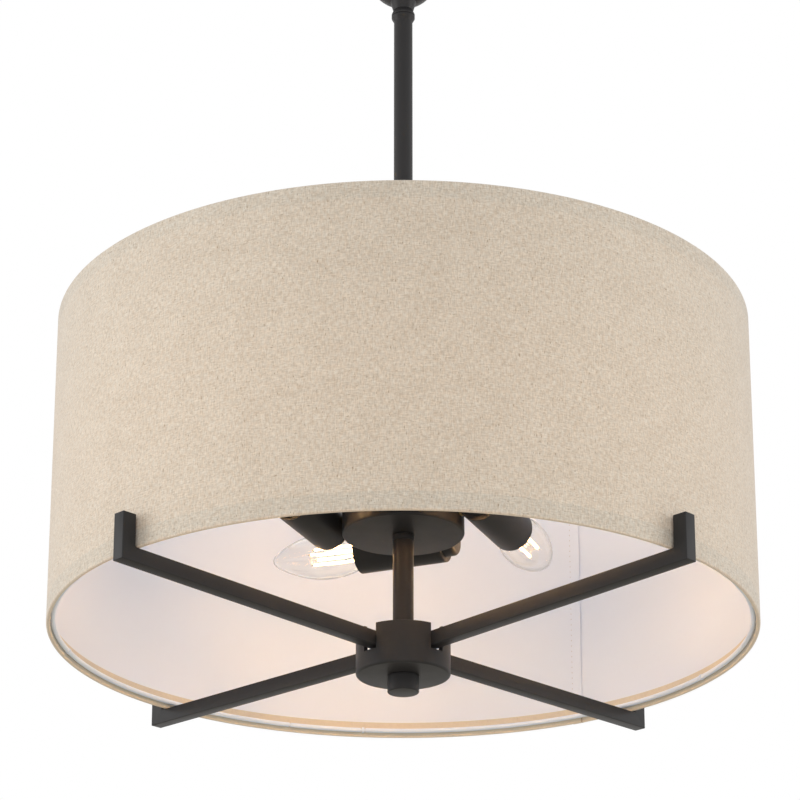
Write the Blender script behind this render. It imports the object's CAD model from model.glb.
"""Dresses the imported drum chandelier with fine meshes, procedural materials and a plain studio.

Shapes are worked out in millimetres and become metres where their vertices and places are made.
Settings, shader values and the studio are in metres throughout."""

import math

import bmesh
import bpy
from bpy.props import FloatProperty, FloatVectorProperty, IntProperty, PointerProperty
from mathutils import Matrix, Vector


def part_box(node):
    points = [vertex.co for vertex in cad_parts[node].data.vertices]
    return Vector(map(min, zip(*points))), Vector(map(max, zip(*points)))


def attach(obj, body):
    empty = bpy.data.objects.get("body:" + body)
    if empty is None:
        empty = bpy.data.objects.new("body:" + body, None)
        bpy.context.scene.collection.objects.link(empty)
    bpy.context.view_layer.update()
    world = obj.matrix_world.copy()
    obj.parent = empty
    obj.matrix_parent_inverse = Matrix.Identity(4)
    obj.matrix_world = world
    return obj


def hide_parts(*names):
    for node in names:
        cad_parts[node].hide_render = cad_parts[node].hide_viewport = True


bl_info = {
    "name": "Drum Chandelier",
    "version": (1, 0, 0),
    "blender": (4, 5, 0),
    "location": "3D View > Sidebar > Chandelier",
    "description": "Builds a linen drum chandelier on its packed frame, piece by piece",
    "category": "Add Mesh",
}

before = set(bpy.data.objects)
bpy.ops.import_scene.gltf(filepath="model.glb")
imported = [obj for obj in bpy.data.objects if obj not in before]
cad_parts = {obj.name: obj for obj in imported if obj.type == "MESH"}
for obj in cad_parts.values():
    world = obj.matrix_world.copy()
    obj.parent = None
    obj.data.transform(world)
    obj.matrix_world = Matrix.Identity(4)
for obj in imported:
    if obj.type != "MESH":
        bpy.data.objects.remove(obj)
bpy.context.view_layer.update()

MM = 0.001
QUARTER = math.pi / 2
FULL = 2 * math.pi


def span(node):
    """Lowest and highest point of a CAD node in millimetres"""
    return [corner.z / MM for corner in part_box(node)]


SHADE_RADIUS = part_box("shade_fabric")[1].x / MM
RIM_Z, SHADE_TOP_Z = span("shade_fabric")
CLUSTER_BOTTOM_Z = span("cluster_pan")[0]
CLUSTER_TOP_Z = span("cluster_cover")[1]
BALL_Z = -29.7
TIE_BORE = 5.1
NIPPLE_BORE = 5.3
SHEET_WALL = 1.2
STUD_X = 44.5
EARTH_X = 12
SOCKETS = (1, 2, 3, 4)
GLASS_LEAN = {1: 1.7, 2: -1.6, 3: 0, 4: 0}
ARM_PLAY = {1: 1.6, 2: 0, 3: 0, 4: 0}


# Sizes and colours that a user may change

def colour_setting(name, description, default):
    return FloatVectorProperty(name=name, description=description, subtype="COLOR", size=3, min=0, max=1,
                               default=default)


def share_setting(name, description, default, low=0):
    return FloatProperty(name=name, description=description, subtype="FACTOR", min=low, max=1, default=default)


def length_setting(name, description, default, **limits):
    return FloatProperty(name=name, description=description, subtype="DISTANCE", unit="LENGTH",
                         default=default, **limits)


def angle_setting(name, description, default):
    return FloatProperty(name=name, description=description, subtype="ANGLE", default=default)


class ShadeSettings(bpy.types.PropertyGroup):
    """Linen drum, its liner and its wire rings"""

    pale_yarn: colour_setting("Pale yarn", "Colour of the lighter linen yarns", (0.79, 0.72, 0.62))
    dark_yarn: colour_setting("Dark yarn", "Colour of the darker linen yarns", (0.555, 0.475, 0.382))
    fleck: colour_setting("Fleck", "Colour of the stray flax flecks", (0.30, 0.21, 0.13))
    hem_inside: colour_setting("Hem inside", "Colour of the turned-in linen", (0.66, 0.60, 0.49))
    liner: colour_setting("Liner", "Colour of the smooth liner inside the drum", (0.76, 0.825, 0.965))
    wire: colour_setting("Ring wire", "Colour of the painted wire rings", (0.79, 0.87, 1.0))
    seam_azimuth: angle_setting(
        "Seam azimuth", "Where linen and liner overlap, turned from the right-hand side", math.radians(56.2))
    hem_height: length_setting(
        "Hem height", "Height of linen turned in over each edge", 12 * MM, min=4 * MM, max=40 * MM)
    glow: share_setting("Glow", "Lamp light that comes through the linen", 0.06)


class MetalSettings(bpy.types.PropertyGroup):
    """Painted metal"""

    bronze: colour_setting("Dark bronze", "Colour of the powder coat", (0.0308, 0.0300, 0.0310))
    bronze_roughness: share_setting("Coat roughness", "How matt the powder coat is", 0.42, 0.05)


class BulbSettings(bpy.types.PropertyGroup):
    """Candle bulbs"""

    light: colour_setting("Light", "Colour of the light that the filaments give", (1.0, 0.575, 0.24))
    strength: FloatProperty(
        name="Strength", description="Brightness of the filaments", default=128, min=0, max=400)
    strip_count: IntProperty(
        name="Filaments", description="Number of filament strips in a bulb", default=4, min=1, max=8)


class StudioSettings(bpy.types.PropertyGroup):
    """Floor, lamps and camera"""

    floor_drop: length_setting("Floor below ceiling", "Height of the room", 2.4, min=1.5, max=6)
    side_power: FloatProperty(
        name="Side softboxes", description="Power of each side softbox", unit="POWER", default=15.8, min=0, max=500)
    room_light: share_setting("Room light", "Even light from all round", 0.79)
    camera_distance: length_setting("Camera distance", "Level distance from the camera to the rod", 2.17961)
    camera_drop: length_setting("Camera drop", "How far the camera is below the rim of the shade", 0.73254)
    camera_pitch: angle_setting("Camera pitch", "How far the camera looks up", 0.35275)
    camera_azimuth: angle_setting(
        "Camera azimuth", "How far the camera stands off the middle, turned about the rod", math.radians(-0.29))
    lens: FloatProperty(
        name="Lens", description="Focal length on a 36 mm wide sensor", subtype="DISTANCE_CAMERA", default=144.747)


class ChandelierSettings(bpy.types.PropertyGroup):
    """All settings of the chandelier"""

    shade: PointerProperty(type=ShadeSettings, name="Shade", description="Linen drum and rings")
    metal: PointerProperty(type=MetalSettings, name="Metal", description="Painted metal")
    bulb: PointerProperty(type=BulbSettings, name="Bulbs", description="Candle bulbs")
    studio: PointerProperty(type=StudioSettings, name="Studio", description="Floor, lamps and camera")


# Shader nodes

class Nodes:
    """Adds nodes to a shader tree. An input is a socket to link or a plain value."""

    def __init__(self, tree):
        self.tree = tree

    def feed(self, socket, value):
        """Links a socket to an input or sets the input's value"""
        if isinstance(value, bpy.types.NodeSocket):
            self.tree.links.new(value, socket)
        elif value is not None:
            socket.default_value = value

    def feed_all(self, node, **inputs):
        """Feeds a node's inputs by name, with underscores for spaces"""
        for key, value in inputs.items():
            self.feed(node.inputs[key.replace("_", " ")], value)

    def add(self, kind, inputs=None, **settings):
        """The outputs of a new node with these settings and named or numbered inputs"""
        made = self.tree.nodes.new(kind)
        for key, value in settings.items():
            setattr(made, key, value)
        for key, value in (inputs or {}).items():
            self.feed(made.inputs[key], value)
        return made.outputs

    def math(self, operation, first, second=None, clamp=False):
        return self.add("ShaderNodeMath", {0: first, 1: second}, operation=operation, use_clamp=clamp)[0]

    def plus(self, first, second, clamp=False):
        return self.math("ADD", first, second, clamp)

    def times(self, first, second):
        return self.math("MULTIPLY", first, second)

    def stretch(self, vector, by):
        """A vector with each part multiplied"""
        return self.add("ShaderNodeVectorMath", {0: vector, 1: by}, operation="MULTIPLY")[0]

    def mix(self, share, first, second, blend="MIX"):
        """A mix of two colours"""
        ends = [end if isinstance(end, bpy.types.NodeSocket) else (*end[:3], 1) for end in (first, second)]
        return self.add("ShaderNodeMix", {0: share, 6: ends[0], 7: ends[1]}, data_type="RGBA", blend_type=blend)[2]

    def noise(self, place, scale, detail=2.0, roughness=0.5):
        """Noise with a scale for each part of its place"""
        return self.add("ShaderNodeTexNoise", {"Vector": self.stretch(place, scale), "Scale": 1.0, "Detail": detail,
                                               "Roughness": roughness})[0]

    def ramp(self, value, low, high, to_low=0.0, to_high=1.0, smooth=True):
        """A value led from low..high to to_low..to_high"""
        return self.add("ShaderNodeMapRange", {"Value": value, "From Min": low, "From Max": high,
                                               "To Min": to_low, "To Max": to_high},
                        interpolation_type="SMOOTHSTEP" if smooth else "LINEAR")["Result"]

    def place(self):
        return self.add("ShaderNodeTexCoord")["Object"]

    def cloth(self):
        """Length and height on a wrapped sheet"""
        return self.add("ShaderNodeUVMap", uv_map="Cloth")[0]

    def bump(self, shader, height, depth):
        """Bumps of a depth in millimetres"""
        raised = self.add("ShaderNodeBump", {"Strength": 1.0, "Distance": depth * MM, "Height": height})
        self.feed_all(shader, Normal=raised["Normal"])


def new_group(name, inputs, outputs):
    """An empty shader group with the given (name, kind, default) inputs and (name, kind) outputs"""
    group = bpy.data.node_groups.new(name, "ShaderNodeTree")
    for label, kind, value in inputs:
        group.interface.new_socket(label, in_out="INPUT", socket_type=kind).default_value = value
    for label, kind in outputs:
        group.interface.new_socket(label, in_out="OUTPUT", socket_type=kind)
    return group, group.nodes.new("NodeGroupInput").outputs, group.nodes.new("NodeGroupOutput").inputs


def linen_weave_group():
    """Slubbed plain weave: pale and dark yarns both ways, flecks, and a height"""
    group, given, wanted = new_group(
        "Linen weave",
        [("Pale yarn", "NodeSocketColor", (0.7, 0.6, 0.5, 1)),
         ("Dark yarn", "NodeSocketColor", (0.5, 0.4, 0.3, 1)),
         ("Fleck", "NodeSocketColor", (0.3, 0.2, 0.1, 1)),
         ("Warp scale", "NodeSocketVector", (1050, 230, 0)),
         ("Weft scale", "NodeSocketVector", (260, 1050, 0)),
         ("Contrast", "NodeSocketFloat", 1.0)],
        [("Color", "NodeSocketColor"), ("Height", "NodeSocketFloat"), ("Roughness", "NodeSocketFloat")])
    nodes = Nodes(group)
    cloth = nodes.cloth()
    yarns = nodes.plus(nodes.noise(cloth, given["Warp scale"], 3.0, 0.6),
                       nodes.noise(cloth, given["Weft scale"], 3.0, 0.6))
    spread = nodes.times(nodes.math("SUBTRACT", yarns, 1.0), given["Contrast"])
    cloud = nodes.noise(cloth, (42, 42, 0), 3.0, 0.6)
    patchy = nodes.times(nodes.math("SUBTRACT", cloud, 0.5), 0.5)
    share = nodes.plus(nodes.plus(nodes.times(spread, 1.5), 0.5), patchy, clamp=True)
    colour = nodes.mix(share, given["Pale yarn"], given["Dark yarn"])
    tint = nodes.ramp(nodes.noise(cloth, (420, 260, 9)), 0.36, 0.64, smooth=False)
    tint = nodes.mix(tint, (1.0, 0.97, 0.94), (0.97, 0.985, 1.0))
    colour = nodes.mix(1.0, colour, tint, "MULTIPLY")
    upright = nodes.ramp(nodes.noise(cloth, (900, 250, 0)), 0.64, 0.74)
    level = nodes.ramp(nodes.noise(cloth, (230, 900, 5)), 0.66, 0.76)
    flecks = nodes.times(nodes.math("MAXIMUM", upright, level), 0.75)
    nodes.feed(wanted["Color"], nodes.mix(flecks, colour, given["Fleck"]))
    pitch = nodes.stretch(cloth, (420, 420, 0))
    waves = [nodes.add("ShaderNodeTexWave", {"Vector": pitch, "Scale": 1.0, "Distortion": 0.6, "Detail": 1.0},
                       bands_direction=way)["Fac"] for way in ("X", "Y")]
    nodes.feed(wanted["Height"], nodes.plus(nodes.times(nodes.times(*waves), 0.6), yarns))
    nodes.feed(wanted["Roughness"], nodes.ramp(yarns, 0.6, 1.4, 0.8, 1.0))
    return group


def fine_grain_group():
    """Fine surface grain: a slightly varied colour, roughness and height at a given scale"""
    group, given, wanted = new_group(
        "Fine grain",
        [("Colour", "NodeSocketColor", (0.5, 0.5, 0.5, 1)),
         ("Second colour", "NodeSocketColor", (0.4, 0.4, 0.4, 1)),
         ("Scale", "NodeSocketFloat", 900.0),
         ("Least roughness", "NodeSocketFloat", 0.35),
         ("Most roughness", "NodeSocketFloat", 0.5)],
        [("Color", "NodeSocketColor"), ("Roughness", "NodeSocketFloat"), ("Height", "NodeSocketFloat")])
    nodes = Nodes(group)
    place = nodes.place()
    grain = nodes.add("ShaderNodeTexNoise", {"Vector": place, "Scale": given["Scale"], "Detail": 3.0,
                                             "Roughness": 0.6})[0]
    broad = nodes.add("ShaderNodeTexNoise", {"Vector": place, "Scale": 60.0, "Detail": 3.0})[0]
    share = nodes.plus(nodes.times(grain, 0.5), nodes.times(broad, 0.5), clamp=True)
    nodes.feed(wanted["Color"], nodes.mix(share, given["Colour"], given["Second colour"]))
    rough = nodes.add("ShaderNodeMapRange", {"Value": broad, "To Min": given["Least roughness"],
                                             "To Max": given["Most roughness"]})
    nodes.feed(wanted["Roughness"], rough["Result"])
    nodes.feed(wanted["Height"], grain)
    return group


def place_group(nodes, name, build, **inputs):
    """The outputs of a shader group in a material; the group is built the first time"""
    group = bpy.data.node_groups.get(name) or build()
    made = nodes.tree.nodes.new("ShaderNodeGroup")
    made.node_tree = group
    nodes.feed_all(made, **inputs)
    return made.outputs


# Materials

def bare_look(name, **values):
    """A new material with a Principled shader that has these values, its nodes and that shader"""
    made = bpy.data.materials.new(name)
    made.use_nodes = True
    nodes = Nodes(made.node_tree)
    shader = made.node_tree.nodes["Principled BSDF"]
    nodes.feed_all(shader, **values)
    return made, nodes, shader


def grained_look(name, colour, second, scale, least, most, depth=0.01, metallic=0.0, **values):
    """A material of plain colour with fine grain"""
    made, nodes, shader = bare_look(name, Metallic=metallic, **values)
    outputs = place_group(nodes, "Fine grain", fine_grain_group, Colour=(*colour, 1), Second_colour=(*second, 1),
                          Scale=scale, Least_roughness=least, Most_roughness=most)
    nodes.feed_all(shader, Base_Color=outputs["Color"], Roughness=outputs["Roughness"])
    nodes.bump(shader, outputs["Height"], depth)
    return made


def shade_of(colour, factor):
    """A darker or lighter version of a colour"""
    return tuple(min(1.0, part * factor) for part in colour)


def bronze_look(settings):
    coat = tuple(settings.metal.bronze)
    rough = settings.metal.bronze_roughness
    return grained_look("Dark bronze coat", coat, shade_of(coat, 0.84), 1500, rough - 0.04, rough + 0.06,
                        0.02, Specular_IOR_Level=0.19)


def wire_look(settings):
    wire = tuple(settings.shade.wire)
    return grained_look("White ring paint", wire, shade_of(wire, 0.93), 1100, 0.28, 0.42)


def glass_look(settings):
    """Clear glass, faintly green and rippled at its rim"""
    made, nodes, shader = bare_look("Clear bulb glass", Transmission_Weight=1.0, IOR=1.5)
    facing = nodes.add("ShaderNodeLayerWeight", {"Blend": 0.5})["Facing"]
    tone = nodes.mix(nodes.ramp(facing, 0.62, 1.0), (0.985, 0.99, 0.985), (0.66, 0.76, 0.71))
    ripple = nodes.noise(nodes.place(), (55, 55, 30), 1.0)
    nodes.bump(shader, ripple, 0.15)
    nodes.feed_all(shader, Base_Color=tone, Roughness=nodes.ramp(ripple, 0.3, 0.7, 0.05, 0.08))
    return made


def filament_look(settings):
    """Glowing coated strip"""
    made, nodes, shader = bare_look("Lit filament", Roughness=0.6, Emission_Strength=settings.bulb.strength)
    light = tuple(settings.bulb.light)
    tone = nodes.mix(nodes.noise(nodes.place(), (900, 900, 900)), light, shade_of(light, 0.85))
    nodes.feed_all(shader, Base_Color=tone, Emission_Color=tone)
    return made


def linen_look(settings):
    """Linen with the lamp light that comes through it between the doubled hems"""
    shade = settings.shade
    made, nodes, shader = bare_look(
        "Slubbed linen", Specular_IOR_Level=0.15, Sheen_Weight=0.35, Sheen_Roughness=0.45,
        Sheen_Tint=(0.92, 0.96, 1.0, 1), Emission_Strength=shade.glow)
    weave = place_group(nodes, "Linen weave", linen_weave_group, Pale_yarn=(*shade.pale_yarn, 1),
                        Dark_yarn=(*shade.dark_yarn, 1), Fleck=(*shade.fleck, 1), Contrast=1.36)
    place = nodes.place()
    reach = nodes.add("ShaderNodeVectorMath", {0: nodes.stretch(place, (1, 1, 0))}, operation="LENGTH")["Value"]
    inside = nodes.ramp(reach, (SHADE_RADIUS - 1.6) * MM, (SHADE_RADIUS - 0.25) * MM, 0.8, 0.0)
    tone = nodes.mix(inside, weave["Color"], shade.hem_inside)
    along = nodes.add("ShaderNodeSeparateXYZ", {0: nodes.cloth()})["X"]
    tone = nodes.mix(nodes.ramp(along, 0.5 * MM, 1.2 * MM, 0.7, 0.0), tone, shade.fleck)
    nodes.feed_all(shader, Base_Color=tone, Roughness=weave["Roughness"])
    nodes.bump(shader, weave["Height"], 0.12)

    height = nodes.add("ShaderNodeSeparateXYZ", {0: place})["Z"]
    blur = 0.6 * MM
    low = (RIM_Z + 1.0) * MM + shade.hem_height
    high = (SHADE_TOP_Z - 0.6) * MM - shade.hem_height
    above = nodes.ramp(height, low - blur, low + blur)
    below = nodes.ramp(height, high - blur, high + blur, 1.0, 0.0)
    bulb_height = (CLUSTER_BOTTOM_Z + 16) * MM
    away = nodes.math("ABSOLUTE", nodes.math("SUBTRACT", height, bulb_height))
    mask = nodes.times(nodes.times(above, below), nodes.ramp(away, 0.0, 160 * MM, 1.0, 0.45))
    fold = nodes.ramp(height, (RIM_Z + 0.6) * MM, (RIM_Z + 1.8) * MM, 1.0, 0.0)
    glow = nodes.mix(nodes.math("MAXIMUM", mask, fold), (0, 0, 0), (1.0, 0.52, 0.22))
    nodes.feed_all(shader, Emission_Color=glow)
    return made


def liner_look(settings):
    """Smooth laminated liner, faintly clouded"""
    made, nodes, shader = bare_look("White liner", Specular_IOR_Level=0.3)
    colour = tuple(settings.shade.liner)
    place = nodes.place()
    cloud = nodes.noise(place, (9, 9, 12))
    nodes.feed_all(shader, Base_Color=nodes.mix(cloud, colour, shade_of(colour, 0.96)),
                   Roughness=nodes.ramp(cloud, 0.3, 0.7, 0.42, 0.5))
    nodes.bump(shader, nodes.noise(place, (700, 700, 700)), 0.01)
    return made


LOOKS = {
    "dark_bronze": bronze_look,
    "clear_glass": glass_look,
    "filament": filament_look,
    "linen": linen_look,
    "liner": liner_look,
    "ring_wire": wire_look,
}
# Name, colour, second colour, grain scale, least and most roughness, then bump depth and metallic
GRAINED_LOOKS = {
    "zinc": ("Zinc plate", (0.56, 0.57, 0.59), (0.46, 0.47, 0.50), 700, 0.28, 0.45, 0.01, 1.0),
    "green_zinc": ("Green earth screw", (0.06, 0.26, 0.11), (0.04, 0.19, 0.08), 900, 0.3, 0.45, 0.01, 0.3),
    "brass": ("Dull brass", (0.64, 0.47, 0.21), (0.54, 0.38, 0.16), 800, 0.24, 0.42, 0.01, 1.0),
    "nylon": ("Natural nylon", (0.80, 0.78, 0.71), (0.75, 0.72, 0.64), 500, 0.4, 0.55),
    "lead_sleeve": ("Lead sleeve", (0.72, 0.70, 0.65), (0.62, 0.60, 0.55), 1200, 0.6, 0.75, 0.05),
    "phenolic": ("Black phenolic", (0.014, 0.012, 0.011), (0.010, 0.009, 0.009), 600, 0.3, 0.45),
    "thread": ("Sewing thread", (0.62, 0.60, 0.62), (0.50, 0.48, 0.50), 2500, 0.7, 0.9, 0.02),
    "floor": ("Pale floor", (0.57, 0.52, 0.44), (0.55, 0.50, 0.42), 4, 0.8, 0.9),
}
made_looks = {}


def look(finish):
    """The material of a finish, made once"""
    if finish not in made_looks:
        made_looks[finish] = (LOOKS[finish](bpy.context.scene.chandelier) if finish in LOOKS
                              else grained_look(*GRAINED_LOOKS[finish]))
    return made_looks[finish]


# Outlines, in millimetres

def around(angle, radius, height):
    """A point at an angle and a distance from the axis"""
    return Vector((radius * math.cos(angle), radius * math.sin(angle), height))


def soften(corners, steps=5):
    """(x, y, rounding) corners of a closed outline as points, with an arc at each rounding"""
    points = []
    for i, corner in enumerate(corners):
        here = Vector(corner[:2])
        round_by = corner[2] if len(corner) > 2 else 0
        if not round_by:
            points.append(here)
            continue
        before = Vector(corners[i - 1][:2]) - here
        after = Vector(corners[(i + 1) % len(corners)][:2]) - here
        half = before.angle(after) / 2
        reach = min(round_by / math.tan(half), 0.5 * before.length, 0.5 * after.length)
        start = before.normalized() * reach
        end = after.normalized() * reach
        centre = (start + end) / 2 / math.cos(half) ** 2
        radius = (start - centre).length
        first = math.atan2(start.y - centre.y, start.x - centre.x)
        sweep = math.atan2(end.y - centre.y, end.x - centre.x) - first
        sweep = (sweep + math.pi) % FULL - math.pi
        for step in range(steps + 1):
            angle = first + sweep * step / steps
            points.append(here + centre + Vector((math.cos(angle), math.sin(angle))) * radius)
    return [here for here, before in zip(points, points[-1:] + points[:-1]) if (here - before).length > 1e-4]


def spaced(points, step):
    """A closed outline with points added so that none lie further apart than step"""
    filled = []
    for here, after in zip(points, points[1:] + points[:1]):
        count = max(1, math.ceil((after - here).length / step))
        filled += [here.lerp(after, i / count) for i in range(count)]
    return filled


def rectangle(left, right, half, rounding=0):
    """Corners of a rectangle that reaches half its depth to each side of X"""
    return [(left, -half, rounding), (right, -half, rounding), (right, half, rounding), (left, half, rounding)]


def sleeve_outline(node, bore, radius, edge):
    """A rod or sleeve as high as a CAD node, with eased outer edges"""
    low, high = span(node)
    return [(bore, low), (radius, low, edge), (radius, high, edge), (bore, high)]


def ball_arc(radius, start, end, steps=24):
    """Points round the swivel ball's centre, by angle from straight down"""
    angles = [start + (end - start) * step / steps for step in range(steps + 1)]
    return [(radius * math.sin(angle), BALL_Z - radius * math.cos(angle)) for angle in angles]


def threaded_outline(outline, low, high, pitch):
    """Adds points to an outline's longest upright side, six to a turn of the thread"""
    points = []
    for here, after in zip(outline, outline[1:] + outline[:1]):
        points.append(here)
        upright = abs(here.x - after.x) < 1e-3 and here.x > 1
        if upright and min(here.y, after.y) <= low + pitch and max(here.y, after.y) >= high - pitch:
            count = int(abs(after.y - here.y) / pitch * 6)
            points += [here.lerp(after, step / count) for step in range(1, count)]
    return points


# Shapes and places

MERGE_DISTANCE = 0.001 * MM  # between corners that a cut leaves almost in one place


def metres(x=0, y=0, z=0):
    """A point given in millimetres"""
    return Vector((x, y, z)) * MM


def shifted(x=0, y=0, z=0):
    """A place moved by millimetres"""
    return Matrix.Translation(metres(x, y, z))


def spin(angle, axis="Z"):
    return Matrix.Rotation(angle, 4, axis)


def turned(corners, sides=96, thread=None):
    """A closed outline of (radius, height, rounding) corners turned about Z.
    thread is (low, high, pitch, depth) of a screw thread cut into its outside."""
    outline = soften(corners)
    if thread:
        low, high, pitch, depth = thread
        outline = threaded_outline(outline, low, high, pitch)
    shape = bmesh.new()
    rings = []
    for radius, height in outline:
        if radius < 1e-4:
            rings.append([shape.verts.new(metres(z=height))])
            continue
        ring = []
        for side in range(sides):
            angle = FULL * side / sides
            cut = 0
            if thread and low < height < high and radius > 1:
                ends = min(1, (height - low) / pitch, (high - height) / pitch)
                cut = depth * ends * (0.5 - 0.5 * math.cos(FULL * height / pitch - angle))
            ring.append(shape.verts.new(around(angle, radius - cut, height) * MM))
        rings.append(ring)
    for ring, following in zip(rings, rings[1:] + rings[:1]):
        if len(ring) == 1 and len(following) == 1:
            continue
        for side in range(sides):
            after = (side + 1) % sides
            face = [ring[side % len(ring)], ring[after % len(ring)],
                    following[after % len(following)], following[side % len(following)]]
            shape.faces.new(list(dict.fromkeys(face)))
    bmesh.ops.recalc_face_normals(shape, faces=shape.faces)
    return shape


def prism(corners, low, high, edge=0.0):
    """An outline of (x, y, rounding) corners pushed up from low to high, with its sharp edges eased"""
    shape = bmesh.new()
    base = shape.faces.new([shape.verts.new(metres(x, y, low)) for x, y in soften(corners)])
    for part in bmesh.ops.extrude_face_region(shape, geom=[base])["geom"]:
        if isinstance(part, bmesh.types.BMVert):
            part.co.z = metres(z=high).z
    bmesh.ops.recalc_face_normals(shape, faces=shape.faces)
    if edge:
        sharp = [e for e in shape.edges if e.calc_face_angle(0) > math.radians(30)]
        bmesh.ops.bevel(shape, geom=sharp, offset=edge * MM, segments=3, profile=0.5, affect="EDGES",
                        clamp_overlap=True)
    return shape


def tube_along(points, radius, sides=10, closed=False):
    """A round wire along a line of points, with one radius or a list of them"""
    shape = bmesh.new()
    count = len(points)
    rings = []
    for i, point in enumerate(points):
        if closed:
            along = points[(i + 1) % count] - points[i - 1]
        else:
            along = points[min(i + 1, count - 1)] - points[max(i - 1, 0)]
        turn = along.to_track_quat("Z", "Y")
        size = radius[i] if isinstance(radius, list) else radius
        rings.append([shape.verts.new((point + turn @ around(FULL * k / sides, size, 0)) * MM)
                      for k in range(sides)])
    for i in range(count if closed else count - 1):
        ring, following = rings[i], rings[(i + 1) % count]
        shift = 0
        if closed and i == count - 1:
            shift = min(range(sides), key=lambda s: (ring[0].co - following[s].co).length)
        for k in range(sides):
            n = (k + 1) % sides
            shape.faces.new([ring[k], ring[n], following[(n + shift) % sides], following[(k + shift) % sides]])
    if not closed:
        shape.faces.new(rings[0])
        shape.faces.new(rings[-1])
    bmesh.ops.recalc_face_normals(shape, faces=shape.faces)
    return shape


def to_mesh(shape, name):
    mesh = bpy.data.meshes.new(name)
    shape.to_mesh(mesh)
    shape.free()
    return mesh


def carved(shape, tools):
    """A shape with the tools cut out of it"""
    base = bpy.data.objects.new("carved", to_mesh(shape, "carved"))
    helpers = [bpy.data.objects.new("tool", to_mesh(tool, "tool")) for tool in tools]
    for item in [base, *helpers]:
        bpy.context.scene.collection.objects.link(item)
    for helper in helpers:
        step = base.modifiers.new("Cut", "BOOLEAN")
        step.operation = "DIFFERENCE"
        step.solver = "EXACT"
        step.object = helper
    bpy.context.view_layer.update()
    result = bmesh.new()
    result.from_object(base, bpy.context.evaluated_depsgraph_get())
    bmesh.ops.remove_doubles(result, verts=result.verts, dist=MERGE_DISTANCE)
    bmesh.ops.dissolve_degenerate(result, edges=result.edges, dist=MERGE_DISTANCE)
    for item in [base, *helpers]:
        mesh = item.data
        bpy.data.objects.remove(item)
        bpy.data.meshes.remove(mesh)
    return result


def moved(shape, matrix):
    bmesh.ops.transform(shape, matrix=matrix, verts=shape.verts)
    return shape


def joined(*shapes):
    """Several shapes as one mesh of separate parts"""
    whole = bmesh.new()
    for shape in shapes:
        part = to_mesh(shape, "part")
        whole.from_mesh(part)
        bpy.data.meshes.remove(part)
    return whole


def drill(radius, low, high, sides=32):
    """A plain cylinder that cuts a round hole"""
    return turned([(0, low), (radius, low), (radius, high), (0, high)], sides)


def hex_nut(node, across, bore):
    """A hexagon nut with chamfered corners, as high as a CAD node"""
    low, high = span(node)
    flat, sides, slope = across / 2, 96, 0.6
    shape = bmesh.new()
    columns = []
    for side in range(sides):
        angle = FULL * side / sides
        reach = flat / math.cos(angle % (math.pi / 3) - math.pi / 6)
        rise = slope * (reach - flat)
        corners = ((flat, low), (reach, low + rise), (reach, high - rise), (flat, high))
        columns.append([shape.verts.new(around(angle, *corner) * MM) for corner in corners])
    for here, after in zip(columns, columns[1:] + columns[:1]):
        for k in range(3):
            shape.faces.new((here[k], after[k], after[k + 1], here[k + 1]))
    for k in (0, 3):
        shape.faces.new([column[k] for column in columns])
    bmesh.ops.remove_doubles(shape, verts=shape.verts, dist=MERGE_DISTANCE)
    bmesh.ops.recalc_face_normals(shape, faces=shape.faces)
    return carved(shape, [drill(bore, low - 1, high + 1, 48)])


def cross_recess(width, top, depth):
    """Two crossed blades that cut the recess of a screw head that faces up"""
    blade = rectangle(-width / 2, width / 2, width / 9)
    return [moved(prism(blade, top - depth, top + depth), spin(turn)) for turn in (0, QUARTER)]


def wrapped_sheet(section, start, sweep, steps, lift):
    """A sheet's cross-section led round the drum; lift gives its push outwards by arc angle.
    The sheet's own length and height are its Cloth coordinates."""
    shape = bmesh.new()
    cloth = shape.loops.layers.uv.new("Cloth")
    along = [0.0]
    for here, after in zip(section, section[1:] + section[:1]):
        along.append(along[-1] + (after - here).length)
    rings = []
    for i in range(steps + 1):
        turn = sweep * i / steps
        push = lift(turn)
        rings.append([shape.verts.new(around(start + turn, r + push, z) * MM) for r, z in section])
    count = len(section)
    for i in range(steps):
        for j in range(count):
            k = (j + 1) % count
            face = shape.faces.new((rings[i][j], rings[i + 1][j], rings[i + 1][k], rings[i][k]))
            corners = ((i, j), (i + 1, j), (i + 1, j + 1), (i, j + 1))
            for loop, (m, n) in zip(face.loops, corners):
                loop[cloth].uv = (SHADE_RADIUS * sweep * m / steps * MM, along[n] * MM)
    shape.faces.new(rings[0])
    shape.faces.new(rings[-1])
    bmesh.ops.recalc_face_normals(shape, faces=shape.faces)
    return shape


def ease(value):
    """0 to 1 with a soft start and end"""
    value = max(0.0, min(1.0, value))
    return value * value * (3 - 2 * value)


def add_piece(name, shape, node=None, finish="dark_bronze", body="fixture", place=None, sharp=35):
    """Puts a shape into the scene as a piece that moves with a body and stands for a CAD node"""
    mesh = shape if isinstance(shape, bpy.types.Mesh) else to_mesh(shape, name)
    mesh.shade_smooth()
    mesh.set_sharp_from_angle(angle=math.radians(sharp))
    if not mesh.materials:
        mesh.materials.append(look(finish))
    piece = bpy.data.objects.new(name, mesh)
    bpy.context.scene.collection.objects.link(piece)
    if place:
        piece.matrix_world = place
    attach(piece, body)
    if node:
        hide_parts(node)
    return piece


# Drum shade

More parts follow.
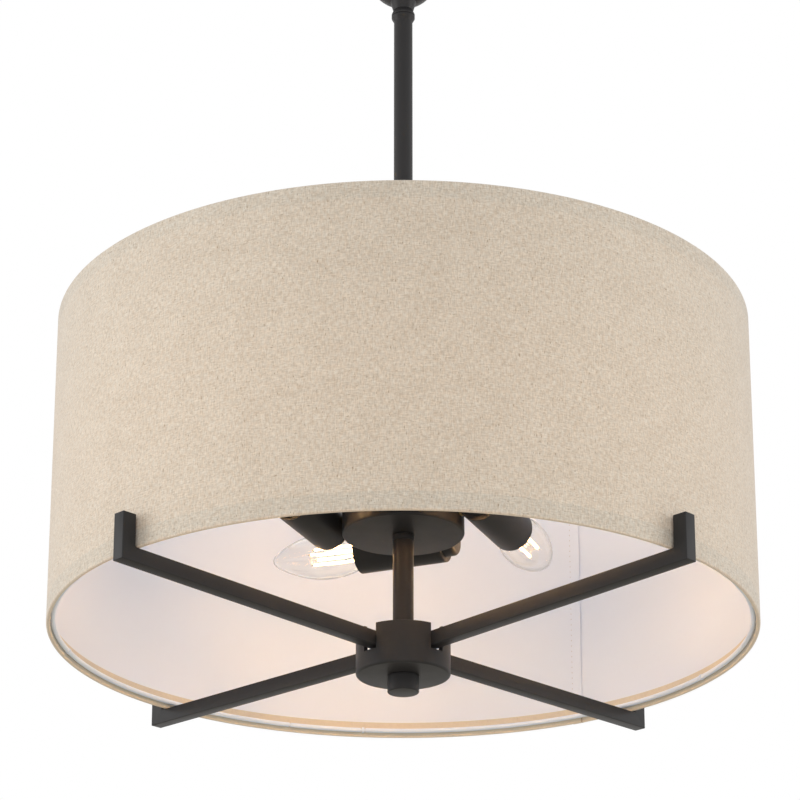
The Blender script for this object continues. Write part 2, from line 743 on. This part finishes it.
class CHANDELIER_OT_linen(bpy.types.Operator):
    """Build the linen drum with its turned-in hems and overlapped seam"""

    bl_idname = "chandelier.linen"
    bl_label = "Linen Drum"

    def execute(self, context):
        shade = context.scene.chandelier.shade
        low, high, hem = RIM_Z, SHADE_TOP_Z, shade.hem_height / MM
        cloth, outer = 0.8, SHADE_RADIUS
        wall, hem_outer, hem_inner = outer - cloth, outer - 2.0, outer - 2.8
        fold, tuck, cut = 1.2, 0.9, 0.25
        corners = [
            (outer, low, fold), (outer, high, fold), (hem_inner, high, tuck), (hem_inner, high - hem, cut),
            (hem_outer, high - hem, cut), (hem_outer, high - cloth), (wall, high - cloth),
            (wall, low + cloth), (hem_outer, low + cloth), (hem_outer, low + hem, cut),
            (hem_inner, low + hem, cut), (hem_inner, low, tuck),
        ]
        overlap = 9 / outer
        sweep = FULL + overlap

        def lift(turn):
            return 0.75 * ease((turn - FULL + 0.4 * overlap) / (0.4 * overlap))

        shape = wrapped_sheet(spaced(soften(corners, 6), 9), shade.seam_azimuth, sweep, 420, lift)
        piece = add_piece("linen_drum", shape, "shade_fabric", "linen", "shade")
        return {"FINISHED"}


class CHANDELIER_OT_liner(bpy.types.Operator):
    """Build the liner with its overlap and the stitches beside it"""

    bl_idname = "chandelier.liner"
    bl_label = "Liner"

    def execute(self, context):
        shade = context.scene.chandelier.shade
        outer, inner = SHADE_RADIUS - 1.15, SHADE_RADIUS - 1.45
        low, high = RIM_Z + 1.1, SHADE_TOP_Z - 1.1
        section = spaced(soften([(outer, low), (outer, high), (inner, high), (inner, low)]), 20)
        overlap = 12 / inner

        def lift(turn):
            curl = 0.6 * (1 - ease(turn * inner / 1.2))
            return -0.32 * (1 - ease((turn - overlap) / overlap)) - curl

        sheet = wrapped_sheet(section, shade.seam_azimuth, FULL + overlap, 400, lift)
        add_piece("liner_sheet", sheet, "shade_liner", "liner", "shade")
        hem, gap = shade.hem_height / MM, 4.4
        azimuth = shade.seam_azimuth + math.radians(1.95)
        stitches = []
        for i in range(int((high - low - 2 * hem) / gap)):
            stitch = bmesh.new()
            bmesh.ops.create_icosphere(stitch, subdivisions=2, radius=1)
            stretch = Matrix.Diagonal((*metres(0.16, 0.32, 0.52), 1))
            spot = shifted(*around(azimuth, inner - 0.34, low + hem + gap * (i + 0.5)))
            stitches.append(moved(stitch, spot @ spin(azimuth) @ stretch))
        add_piece("liner_stitches", joined(*stitches), finish="thread", body="shade")
        return {"FINISHED"}


class CHANDELIER_OT_rings(bpy.types.Operator):
    """Build the two painted wire rings and the sleeves on the lower one"""

    bl_idname = "chandelier.rings"
    bl_label = "Wire Rings"

    def execute(self, context):
        wire, middle, steps = 1.8, SHADE_RADIUS - 4.9, 360
        weld = math.radians(110.6)
        clip_places = [math.radians(azimuth) for azimuth in (168.4, 26.2, 97.0)]
        beside_clips = [clip + side * 1.35 / middle for clip in clip_places for side in (-1, 1)]
        for name, notches in (("top", [weld]), ("bottom", [weld, *beside_clips])):
            height = sum(span(f"shade_ring_{name}")) / 2
            angles = [FULL * (i + 0.13) / steps for i in range(steps)]
            angles += [notch + side / middle for notch in notches for side in (-0.6, -0.35, 0.35, 0.6)]
            angles.sort()
            points = [around(angle, middle, height) for angle in angles]
            sizes = [wire * (0.55 if any(abs(angle - notch) < 0.4 / middle for notch in notches) else 1)
                     for angle in angles]
            add_piece(f"ring_{name}_wire", tube_along(points, sizes, 12, True), f"shade_ring_{name}",
                      "ring_wire", "shade")
        inner, outer = wire + 0.05, wire + 0.4
        sleeve = [(inner, -1), (outer, -1, 0.15), (outer, 1, 0.15), (inner, 1)]
        clips = [moved(turned(sleeve, 24), shifted(*around(angle, middle, height)) @ spin(angle) @ spin(QUARTER, "X"))
                 for angle in clip_places]
        add_piece("ring_clips", joined(*clips), finish="ring_wire", body="shade")
        return {"FINISHED"}


# Cross, hub and stem

def arm_top(radius):
    """Height of an arm's top face at a radius"""
    return RIM_Z - 0.3 - 5.3 * (SHADE_RADIUS - radius) / 266.9


class CHANDELIER_OT_arms(bpy.types.Operator):
    """Build the four square bars with their upturned ends"""

    bl_idname = "chandelier.arms"
    bl_label = "Cross Arms"

    def execute(self, context):
        start, out, tab, deep, half = 8, 267.3, 256.1, 10.7, 4.8
        top = RIM_Z + 22.7
        corners = [(start, arm_top(start) - deep), (out, arm_top(out) - deep), (out, top), (tab, top),
                   (tab, arm_top(tab), 1.6), (start, arm_top(start))]
        bar = to_mesh(moved(prism(corners, -half, half, 0.55), spin(QUARTER, "X")), "arm_bar")
        for i in SOCKETS:
            place = spin(math.radians(45 + 90 * (i - 1) + ARM_PLAY[i]))
            add_piece(f"arm_bar_{i}", bar, f"cross_arm_{i}", place=place, sharp=50)
        return {"FINISHED"}


class CHANDELIER_OT_hub(bpy.types.Operator):
    """Build the slotted cup, the core under the arms and the plate over them"""

    bl_idname = "chandelier.hub"
    bl_label = "Hub"

    def execute(self, context):
        low, high = span("hub_cup")
        outer, inner, floor, rim = 33.9, 30.9, low + 3, 0.5
        corners = [(TIE_BORE, low), (outer, low, 2), (outer, high, rim), (inner, high, rim), (inner, floor, 1),
                   (TIE_BORE, floor)]
        slot = rectangle(28, 36, 5.8)
        slots = [moved(prism(slot, arm_top(outer) - 13.5, high + 2), spin(math.radians(45 + 90 * i)))
                 for i in range(4)]
        add_piece("hub_shell", carved(turned(corners, 128), slots), "hub_cup")
        for name, node, radius in (("hub_spacer", "hub_core", 20), ("arm_clamp", "clamp_plate", 24)):
            add_piece(name, turned(sleeve_outline(node, TIE_BORE, radius, rim)), node)
        return {"FINISHED"}


class CHANDELIER_OT_stem(bpy.types.Operator):
    """Build the stem with its collar, the tie rod and nut inside it, and the finial"""

    bl_idname = "chandelier.stem"
    bl_label = "Stem and Finial"

    def execute(self, context):
        for name, node, radius, edge in (("stem_sleeve", "stem_tube", 7.5, 0.4),
                                         ("stem_top_collar", "stem_collar", 7.9, 0.8)):
            add_piece(name, turned(sleeve_outline(node, TIE_BORE, radius, edge)), node)
        rod = turned(sleeve_outline("tie_rod", 0, 4.8, 0.5), 32, (*span("tie_rod"), 1.25, 0.6))
        add_piece("threaded_tie_rod", rod, "tie_rod", "zinc")
        add_piece("tie_rod_hex_nut", hex_nut("tie_rod_nut", 14, TIE_BORE), "tie_rod_nut", "zinc")
        low, high = span("finial")
        outer, bottom = 11.35, high - 9.6
        corners = [(0, low), (outer, low, 1.1), (outer, high, 0.4), (TIE_BORE, high), (TIE_BORE, bottom), (0, bottom)]
        add_piece("hub_finial", turned(corners), "finial", body="finial")
        return {"FINISHED"}


# Lamp cluster, sockets and bulbs

def socket_place(i):
    """A socket's own frame: Z out of its mouth and Y towards the cluster"""
    turn = math.radians(67.5 + 90 * (i - 1))
    outward = around(turn, 1, 0)
    inward = around(turn + QUARTER, 1, 0)
    place = Matrix((inward.cross(outward), inward, outward)).transposed().to_4x4()
    place.translation = (Vector((0, 0, CLUSTER_BOTTOM_Z + 15.8)) - 61.8 * inward) * MM
    return place


def shared_meshes(kinds):
    """(name, shape, node, finish) rows with a mesh in place of each shape"""
    return [(name, to_mesh(shape, name), node, finish) for name, shape, node, finish in kinds]


class CHANDELIER_OT_cluster(bpy.types.Operator):
    """Build the round lamp body with its cover and cover screws"""

    bl_idname = "chandelier.cluster"
    bl_label = "Lamp Cluster"

    def execute(self, context):
        low, high = span("cluster_pan")
        outer, inner, floor = 44.3, 43.1, low + SHEET_WALL
        corners = [(TIE_BORE, low), (outer, low, 1.6), (outer, high, 0.3), (inner, high, 0.3), (inner, floor, 1),
                   (TIE_BORE, floor)]
        holes = [moved(drill(NIPPLE_BORE, 14, 21), socket_place(i) @ spin(-QUARTER, "X")) for i in SOCKETS]
        add_piece("lamp_pan", carved(turned(corners, 128), holes), "cluster_pan")
        low, high = span("cluster_cover")
        under = high - SHEET_WALL
        corners = [(NIPPLE_BORE, under), (41.6, under), (41.6, low), (42.8, low), (42.8, under),
                   (outer, under, 0.3), (outer, high, 0.6), (NIPPLE_BORE, high)]
        add_piece("lamp_cover", turned(corners, 128), "cluster_cover")
        head = [(0, -4.3), (1.5, -4.3), (1.5, 0), (2.8, 0), (2.8, 0.9, 0.6), (1.6, 1.5, 0.6), (0, 1.6)]
        for i in range(2):
            screw = carved(turned(head, 48), cross_recess(2.6, 1.6, 0.8))
            place = spin(0.14 + math.pi * i) @ shifted(outer + 0.3, 0, under - 2.5) @ spin(QUARTER, "Y")
            add_piece(f"pan_screw_{i + 1}", screw, f"cover_screw_{i + 1}", place=place)
        return {"FINISHED"}


class CHANDELIER_OT_sockets(bpy.types.Operator):
    """Build the socket shells, the nipples that carry them and the lampholders inside"""

    bl_idname = "chandelier.sockets"
    bl_label = "Sockets"

    def execute(self, context):
        outer, inner, boss, wall = 15.9, 14.9, 12, 1
        front, back, end = 60, -8, -17
        shell = [(0, end), (boss, end, 3), (boss, back, 0.4), (outer, back, 0.8), (outer, front, 0.3),
                 (inner, front, 0.3), (inner, back + wall), (boss - wall, back + wall), (boss - wall, end + wall),
                 (0, end + wall)]
        nipple = [(3.5, 10.9), (5, 10.9), (5, 16.2), (7, 16.2, 0.3), (7, 17.2, 0.3), (5, 17.2), (5, 22.7),
                  (3.5, 22.7)]
        holder = [(0, 12), (14.4, 12, 0.4), (14.4, 15, 0.4), (10.8, 15), (10.8, 46.7, 1.2), (6.6, 46.7, 0.6),
                  (6.6, 21), (0, 21)]
        lying = spin(-QUARTER, "X")
        kinds = shared_meshes((
            ("socket_shell", carved(turned(shell), [moved(drill(NIPPLE_BORE, 0, 18), lying)]), "socket_cover",
             "dark_bronze"),
            ("threaded_nipple", moved(turned(nipple, 40), lying), "socket_nipple", "brass"),
            ("candle_holder", turned(holder, 64), "lampholder", "phenolic")))
        for i in SOCKETS:
            for name, mesh, node, finish in kinds:
                add_piece(f"{name}_{i}", mesh, f"{node}_{i}", finish, place=socket_place(i))
        return {"FINISHED"}


def candle_outline(radius, length, start, wall):
    """Outer and inner outline of a candle-shaped glass of even wall, from neck to tip"""
    shares = [(0, .5), (.1, .63), (.18, .76), (.27, .89), (.38, .985), (.48, 1), (.6, .95), (.74, .79),
              (.85, .58), (.93, .38), (.965, .27), (.985, .18), (.996, .09), (1, 0)]
    points = [Vector((out * radius, start + along * length)) for along, out in shares]
    fine = []
    count = len(points)
    for i in range(count - 1):
        p0, p1, p2, p3 = points[max(i - 1, 0)], points[i], points[i + 1], points[min(i + 2, count - 1)]
        for step in range(4):
            t = step / 4
            fine.append(0.5 * ((2 * p1) + (p2 - p0) * t + (2 * p0 - 5 * p1 + 4 * p2 - p3) * t * t
                               + (3 * p1 - p0 - 3 * p2 + p3) * t ** 3))
    inner = []
    for before, here, after in zip(fine[:1] + fine, fine, fine[1:] + [points[-1]]):
        along = (after - before).normalized()
        inset = here + Vector((-along.y, along.x)) * wall
        if inset.x > 0.2:
            inner.append(inset)
    inner.append(Vector((0, start + length - 2 * wall)))
    return fine + [points[-1]] + inner[::-1]


class CHANDELIER_OT_bulbs(bpy.types.Operator):
    """Build the candle bulbs: glass, screw base, filament strips and their mount"""

    bl_idname = "chandelier.bulbs"
    bl_label = "Candle Bulbs"

    def execute(self, context):
        neck, low, high = 47, 25.7, 46.7
        base = [(0, low), (2.5, low, 0.8), (2.5, low + 2), (5.2, low + 4.4), (6.3, low + 5, 0.3), (6.3, high, 0.3),
                (0, high)]
        strips, wires = [], []
        foot_z, head_z = neck + 7.5, neck + 52
        count = context.scene.chandelier.bulb.strip_count
        for k in range(count):
            angle = FULL * k / count
            foot, head = around(angle, 6, foot_z), around(angle, 6, head_z)
            middle = around(angle, 6.3, (foot_z + head_z) / 2)
            strips.append(tube_along([foot.lerp(middle, 0.08), middle, head.lerp(middle, 0.08)], 1.05, 12))
            for start, end, radius in ((foot.lerp(head, -0.02), foot.lerp(head, 0.05), 0.5),
                                       (head.lerp(foot, -0.02), head.lerp(foot, 0.05), 0.5),
                                       (around(angle, 1.4, neck + 3), foot, 0.3),
                                       (Vector((0, 0, head_z + 1)), head, 0.3)):
                wires.append(tube_along([start, end], radius, 8))
        stem = [(0, neck), (4.6, neck), (3.0, neck + 1.5, 1), (1.6, neck + 5, 2), (1.3, head_z + 1, 0.6),
                (0, head_z + 1.4)]
        kinds = shared_meshes((
            ("bulb_screw_base", turned(base, 48, (low + 5.5, high - 3, 2.5, 0.7)), "bulb_base", "brass"),
            ("bulb_envelope", turned(candle_outline(17.7, 84, neck, 0.8), 72), "bulb_glass", "clear_glass"),
            ("filament_strips", joined(*strips), "bulb_filament", "filament"),
            ("filament_wires", joined(*wires), None, "zinc"),
            ("glass_stem", turned(stem, 32), None, "clear_glass")))
        for i in SOCKETS:
            lean = shifted(z=neck) @ spin(math.radians(GLASS_LEAN[i]), "Y") @ shifted(z=-neck)
            for name, mesh, node, finish in kinds:
                place = socket_place(i) if name == "bulb_screw_base" else socket_place(i) @ lean
                piece = add_piece(f"{name}_{i}", mesh, node and f"{node}_{i}", finish, f"bulb_{i}", place)
                piece.visible_shadow = finish != "clear_glass"
        return {"FINISHED"}


# Rod, swivel and canopy

class CHANDELIER_OT_rod(bpy.types.Operator):
    """Build the downrod, its top collar, the lead inside it and both locknuts"""

    bl_idname = "chandelier.rod"
    bl_label = "Downrod"

    def execute(self, context):
        low, high = span("downrod")
        collar_low, collar_high = span("rod_collar")
        bore, spigot, rod, swell = 3.6, 5, 7.1, 8.9
        foot, head = CLUSTER_TOP_Z + 0.3, collar_low - 0.3
        corners = [(bore, low), (spigot, low, 0.3), (spigot, foot), (rod, foot, 0.4), (rod, head - 4.7, 1.2),
                   (swell, head - 1.3, 2), (swell, head, 0.3), (spigot, head), (spigot, high, 0.3), (bore, high)]
        add_piece("rod_tube", turned(corners), "downrod")
        corners = [(5.3, collar_low), (swell, collar_low, 0.3), (swell, collar_high - 2.6, 2.2),
                   (7.55, collar_high, 0.3), (5.3, collar_high)]
        add_piece("rod_top_collar", turned(corners), "rod_collar")
        add_piece("lead_sleeve", turned(sleeve_outline("supply_lead", 0, 2.8, 0.6), 32), "supply_lead",
                  "lead_sleeve")
        for name, node in (("ball_hex_nut", "ball_locknut"), ("rod_hex_nut", "rod_locknut")):
            add_piece(name, hex_nut(node, 16, 5.3), node, "zinc")
        return {"FINISHED"}


class CHANDELIER_OT_swivel(bpy.types.Operator):
    """Build the swivel ball, the seat ring it hangs in and the housing"""

    bl_idname = "chandelier.swivel"
    bl_label = "Swivel"

    def execute(self, context):
        low = span("swivel_ball")[0]
        ball, inner, bore, neck = 27.3, 25.3, 5.3, 9.9
        depth = ball - 4
        top = QUARTER + 0.2
        corners = [(bore, low), (7.55, low, 0.3), *ball_arc(ball, math.asin(neck / ball), top, 40),
                   *ball_arc(inner, top, math.acos(depth / inner)), (bore, BALL_Z - depth)]
        add_piece("ball_shell", turned(corners, 128), "swivel_ball")
        top = QUARTER + 0.12
        corners = [*ball_arc(28.5, 1.24, top, 12), *ball_arc(27.7, top, 1.24, 12)]
        add_piece("ball_seat", turned(corners), "swivel_seat_ring", "nylon", "swivel_seat")
        outer, inner, flange, base = 30.1, 28.9, 36.1, -13.5
        under = base + SHEET_WALL
        corners = [*ball_arc(outer, 1.2, QUARTER, 20), (outer, base, 0.4), (flange, base), (flange, under),
                   (inner, under, 0.4), *ball_arc(inner, QUARTER, 1.2, 20)]
        add_piece("ball_housing", turned(corners, 128), "swivel_housing", body="ceiling_fitting")
        return {"FINISHED"}


class CHANDELIER_OT_canopy(bpy.types.Operator):
    """Build the canopy, its crossbar, studs, cap nuts and earth screw"""

    bl_idname = "chandelier.canopy"
    bl_label = "Canopy"

    def execute(self, context):
        low, high = span("canopy")
        outer, hole = 63.5, 30.4
        inner, floor = outer - SHEET_WALL, low + SHEET_WALL
        corners = [(hole, low, 0.3), (outer, low, 4), (outer, high, 0.3), (inner, high, 0.3), (inner, floor, 2.8),
                   (hole, floor)]
        drills = [moved(drill(2.3, low - 2, high), shifted(STUD_X * side)) for side in (-1, 1)]
        add_piece("canopy_pan", carved(turned(corners, 160), drills), "canopy", body="ceiling_fitting")
        self.crossbar()
        self.fasteners()
        return {"FINISHED"}

    def crossbar(self):
        low, high = span("ceiling_crossbar")
        end, side = (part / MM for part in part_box("ceiling_crossbar")[1].xy)
        holes = [moved(drill(2.3, low - 1, 1), shifted(x)) for x in (EARTH_X, STUD_X, -STUD_X)]
        holes += [prism(rectangle(middle - 9, middle + 9, 2.5, 2.5), low - 1, 1) for middle in (-30, 30)]
        strap = prism(rectangle(-end, end, side, side), low, high, 0.3)
        add_piece("mounting_strap", carved(strap, holes), "ceiling_crossbar", "zinc", "ceiling_fitting")

    def fasteners(self):
        for side, word in ((-1, "left"), (1, "right")):
            place = shifted(STUD_X * side)
            node = f"canopy_stud_{word}"
            stud = turned(sleeve_outline(node, 0, 2, 0.3), 24, (*span(node), 0.7, 0.3))
            add_piece(f"threaded_stud_{word}", stud, node, "zinc", "ceiling_fitting", place)
            node = f"canopy_cap_nut_{word}"
            low, high = span(node)
            nut = [(0, low), (4.5, low, 3), (4.5, high - 1.2, 0.4), (4.1, high - 1), (4.5, high, 0.2), (2.3, high),
                   (2.3, high - 5), (0, high - 5)]
            add_piece(f"domed_nut_{word}", turned(nut, 64), node, body="ceiling_fitting", place=place)
        low, high = span("ground_screw")
        under = low + 2
        screw = [(0, -high), (2, -high), (2, -under), (3.6, -under), (3.6, -low - 0.9, 0.7), (0, -low)]
        screw = carved(turned(screw, 32), cross_recess(3.4, -low, 1.1))
        add_piece("earth_screw", screw, "ground_screw", "green_zinc", "ceiling_fitting",
                  shifted(EARTH_X) @ spin(math.pi, "X"))


# Studio

class CHANDELIER_OT_studio(bpy.types.Operator):
    """Set up the floor, the lamps, the white room and the camera"""

    bl_idname = "chandelier.studio"
    bl_label = "Studio"

    def execute(self, context):
        studio = context.scene.chandelier.studio
        self.floor(studio)
        self.room(context.scene, studio)
        self.lamps(studio)
        self.camera(context.scene, studio)
        return {"FINISHED"}

    def floor(self, studio):
        shape = bmesh.new()
        bmesh.ops.create_grid(shape, x_segments=8, y_segments=8, size=7)
        mesh = to_mesh(moved(shape, Matrix.Translation((0, 0, -studio.floor_drop))), "floor")
        mesh.materials.append(look("floor"))
        floor = bpy.data.objects.new("floor", mesh)
        bpy.context.scene.collection.objects.link(floor)

    def room(self, scene, studio):
        """A white room whose camera, mirror and glass rays see it whiter than it shines"""
        world = bpy.data.worlds.new("White room")
        scene.world = world
        world.use_nodes = True
        nodes = Nodes(world.node_tree)
        path = nodes.add("ShaderNodeLightPath")
        seen = nodes.math("MAXIMUM", path["Is Camera Ray"], path["Is Transmission Ray"])
        seen = nodes.math("MAXIMUM", seen, path["Is Glossy Ray"])
        nodes.feed_all(world.node_tree.nodes["Background"], Color=(1, 1, 1, 1),
                       Strength=nodes.ramp(seen, 0, 1, studio.room_light, 1.0, smooth=False))

    def lamps(self, studio):
        middle = Vector((0, 0, RIM_Z * MM + 0.1))
        for name, spot, size, share in (
                ("left softbox", (-2.3, -0.35, -0.35), 1.3, 1.15),
                ("right softbox", (2.3, -0.35, -0.35), 1.3, 0.80),
                ("low front softbox", (0.0, -2.7, -1.5), 1.6, 0.66)):
            lamp = bpy.data.lights.new(name, "AREA")
            lamp.shape = "SQUARE"
            lamp.size = size
            lamp.energy = studio.side_power * share
            item = bpy.data.objects.new(name, lamp)
            item.location = spot
            item.rotation_euler = (middle - Vector(spot)).to_track_quat("-Z", "Y").to_euler()
            bpy.context.scene.collection.objects.link(item)

    def camera(self, scene, studio):
        view = bpy.data.cameras.new("photo view")
        view.sensor_width = 36
        view.lens = studio.lens
        view.shift_x = -0.00405
        view.shift_y = 0.18
        item = bpy.data.objects.new("photo view", view)
        turn, distance = studio.camera_azimuth, studio.camera_distance
        item.location = (distance * math.sin(turn), -distance * math.cos(turn), RIM_Z * MM - studio.camera_drop)
        item.rotation_euler = (QUARTER + studio.camera_pitch, 0, turn)
        scene.collection.objects.link(item)
        scene.camera = item
        scene.view_settings.view_transform = "Standard"


PIECE_OPERATORS = (
    CHANDELIER_OT_linen, CHANDELIER_OT_liner, CHANDELIER_OT_rings, CHANDELIER_OT_arms, CHANDELIER_OT_hub,
    CHANDELIER_OT_stem, CHANDELIER_OT_cluster, CHANDELIER_OT_sockets, CHANDELIER_OT_bulbs, CHANDELIER_OT_rod,
    CHANDELIER_OT_swivel, CHANDELIER_OT_canopy, CHANDELIER_OT_studio,
)


class CHANDELIER_PT_pieces(bpy.types.Panel):
    """Lists the pieces of the chandelier and its settings"""

    bl_idname = "CHANDELIER_PT_pieces"
    bl_label = "Drum Chandelier"
    bl_space_type = "VIEW_3D"
    bl_region_type = "UI"
    bl_category = "Chandelier"

    def draw(self, context):
        column = self.layout.column(align=True)
        for operator in PIECE_OPERATORS:
            column.operator(operator.bl_idname)
        settings = context.scene.chandelier
        for name in ("shade", "metal", "bulb", "studio"):
            part = getattr(settings, name)
            box = self.layout.box()
            box.label(text=name.capitalize())
            for key in part.__annotations__:
                box.prop(part, key)


CLASSES = (ShadeSettings, MetalSettings, BulbSettings, StudioSettings, ChandelierSettings, *PIECE_OPERATORS,
           CHANDELIER_PT_pieces)


def register():
    for item in CLASSES:
        bpy.utils.register_class(item)
    bpy.types.Scene.chandelier = PointerProperty(type=ChandelierSettings)


def unregister():
    del bpy.types.Scene.chandelier
    for item in reversed(CLASSES):
        bpy.utils.unregister_class(item)


def main():
    register()
    bpy.ops.chandelier.studio()
    bpy.ops.chandelier.linen()
    bpy.ops.chandelier.liner()
    bpy.ops.chandelier.rings()
    bpy.ops.chandelier.arms()
    bpy.ops.chandelier.hub()
    bpy.ops.chandelier.stem()
    bpy.ops.chandelier.cluster()
    bpy.ops.chandelier.sockets()
    bpy.ops.chandelier.bulbs()
    bpy.ops.chandelier.rod()
    bpy.ops.chandelier.swivel()
    bpy.ops.chandelier.canopy()


if __name__ == "__main__":
    main()
